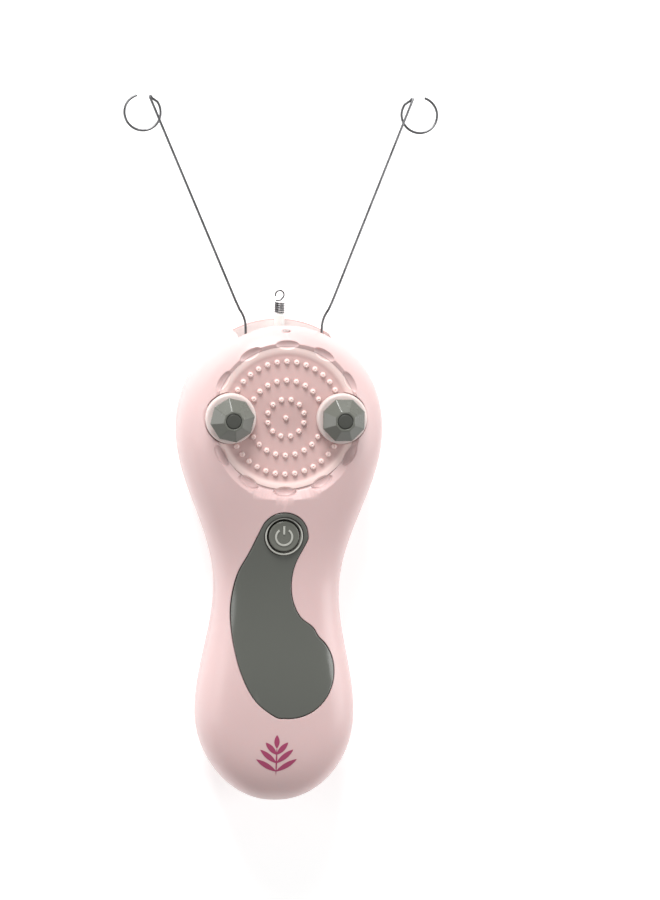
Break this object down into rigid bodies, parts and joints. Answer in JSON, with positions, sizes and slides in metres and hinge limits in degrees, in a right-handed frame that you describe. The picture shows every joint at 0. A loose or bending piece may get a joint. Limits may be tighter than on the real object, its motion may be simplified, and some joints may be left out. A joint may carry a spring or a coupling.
{
  "type": "cotton-thread epilator",
  "caption": "Hand-held thread epilator with two swinging wire arms, a sprung thread hook, a nubbed massage pad with turning faceted knobs and a round power button.",
  "frame": {"origin": "centre of the overall bounding box in X and Y, on the flat back that the tool lies on", "axes": "+Z out of the massage face, +Y along the handle towards the thread arms, +X to the right when looking at the massage face"},
  "size_m": [0.0992, 0.2214, 0.0417],
  "materials": {
    "pink_plastic": "satin pale pink",
    "pad_plastic": "matte pale pink",
    "panel_plastic": "glossy grey-green",
    "knob_plastic": "satin grey-green",
    "pale_plastic": "satin pale",
    "white_plastic": "satin white",
    "wire_steel": "bright spring wire",
    "motor_steel": "plated steel",
    "dark_plastic": "matte black",
    "board": "green laminate",
    "cell_jacket": "printed jacket",
    "brass": "machined"
  },
  "bodies": {
    "housing": {"back_shell": "pink_plastic", "battery_cell_left": "cell_jacket", "battery_cell_right": "cell_jacket", "button_bezel": "pale_plastic", "chassis_plate": "white_plastic", "circuit_board": "board", "contact_bridge": "wire_steel", "contact_spring_left": "wire_steel", "contact_spring_right": "wire_steel", "contact_tab_left": "wire_steel", "contact_tab_right": "wire_steel", "front_shell": "pink_plastic", "gear_axle": "wire_steel", "hook_coil": "wire_steel", "housing_screw_1": "wire_steel", "housing_screw_2": "wire_steel", "housing_screw_3": "wire_steel", "housing_screw_4": "wire_steel", "inlay_panel": "panel_plastic", "knob_collar_left": "pale_plastic", "knob_collar_right": "pale_plastic", "knob_pin_left": "knob_plastic", "knob_pin_right": "knob_plastic", "massage_pad": "pad_plastic", "motor_can": "motor_steel", "motor_end_plate": "dark_plastic", "motor_screw_left": "wire_steel", "motor_screw_right": "wire_steel", "pivot_pin_left": "wire_steel", "pivot_pin_right": "wire_steel", "push_switch": "dark_plastic", "thread_post": "white_plastic"},
    "battery_cover": {"battery_cover": "pink_plastic"},
    "power_button": {"power_button": "knob_plastic"},
    "knob_left": {"knob_left": "knob_plastic"},
    "knob_right": {"knob_right": "knob_plastic"},
    "rotor": {"motor_shaft": "wire_steel", "pinion": "brass"},
    "crank_gear": {"crank_gear": "white_plastic"},
    "arm_left": {"arm_carrier_left": "white_plastic", "arm_wire_left": "wire_steel"},
    "arm_right": {"arm_carrier_right": "white_plastic", "arm_wire_right": "wire_steel"},
    "hook": {"thread_hook": "wire_steel"}
  },
  "joints": [
    {"name": "battery_cover_slide", "type": "slide", "parent": "housing", "child": "battery_cover", "axis": [0, -1, 0], "range_m": [0, 0.058]},
    {"name": "power_button_press", "type": "slide", "parent": "housing", "child": "power_button", "axis": [0, 0, -1], "range_m": [0, 0.001], "stiffness_N_per_m": 400, "springref_m": -0.0005},
    {"name": "knob_left_spin", "type": "hinge", "parent": "housing", "child": "knob_left", "pos_m": [-0.01735, 0.01209, 0.036], "axis": [0, 0, 1], "continuous": true},
    {"name": "knob_right_spin", "type": "hinge", "parent": "housing", "child": "knob_right", "pos_m": [0.01735, 0.01209, 0.036], "axis": [0, 0, 1], "continuous": true},
    {"name": "crank_gear_spin", "type": "hinge", "parent": "housing", "child": "crank_gear", "pos_m": [0, 0.00869, 0.019], "axis": [0, 0, 1], "continuous": true},
    {"name": "rotor_spin", "type": "hinge", "parent": "housing", "child": "rotor", "pos_m": [0, -0.00571, 0.019], "axis": [0, 0, 1], "continuous": true},
    {"name": "arm_left_swing", "type": "hinge", "parent": "housing", "child": "arm_left", "pos_m": [-0.009, 0.02329, 0.024], "axis": [0, 0, 1], "range_deg": [-8, 5]},
    {"name": "arm_right_swing", "type": "hinge", "parent": "housing", "child": "arm_right", "pos_m": [0.009, 0.02329, 0.024], "axis": [0, 0, 1], "range_deg": [-5, 8]},
    {"name": "hook_pull", "type": "slide", "parent": "housing", "child": "hook", "axis": [0, 1, 0], "range_m": [0, 0.004], "stiffness_N_per_m": 5, "deforming": ["hook_coil"]}
  ],
  "couplings": [
    {"joint": "rotor_spin", "follows": "crank_gear_spin", "ratio": -3},
    {"joint": "arm_right_swing", "follows": "arm_left_swing", "ratio": -1}
  ]
}
